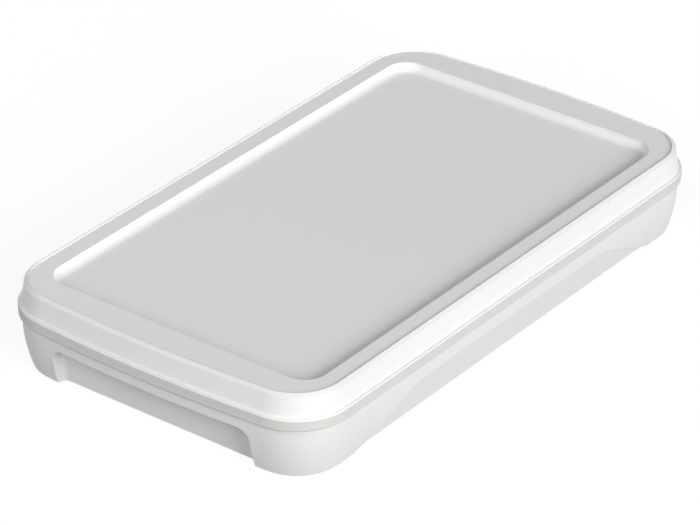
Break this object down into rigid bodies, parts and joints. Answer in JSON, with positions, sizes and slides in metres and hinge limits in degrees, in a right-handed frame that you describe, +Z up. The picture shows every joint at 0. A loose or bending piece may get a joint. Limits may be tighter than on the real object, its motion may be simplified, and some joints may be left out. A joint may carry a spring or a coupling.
{
  "type": "electronics enclosure",
  "caption": "Low rectangular two-part plastic case for handheld electronics, with rounded corners, a soft seal ring, a shallow keypad recess and grip recesses.",
  "frame": {"origin": "the middle of the case in plan, on the plane that the foot pads stand on", "axes": "+Z up through the keypad recess, +Y along the length towards the rear end, +X across the width to the right"},
  "size_m": [0.0934, 0.1622, 0.0228],
  "materials": {
    "shell": "fine satin moulded surface, off-white",
    "seal": "soft satin, slightly warm light grey",
    "screw": "plain zinc-plated steel",
    "pad": "matte dark grey"
  },
  "bodies": {
    "root": {"bottom_shell": "shell", "top_shell": "shell", "seal_ring": "seal", "case_screw_front_left": "screw", "case_screw_front_right": "screw", "case_screw_rear_left": "screw", "case_screw_rear_right": "screw", "foot_pad_front_left": "pad", "foot_pad_front_right": "pad", "foot_pad_rear_left": "pad", "foot_pad_rear_right": "pad"}
  },
  "joints": []
}
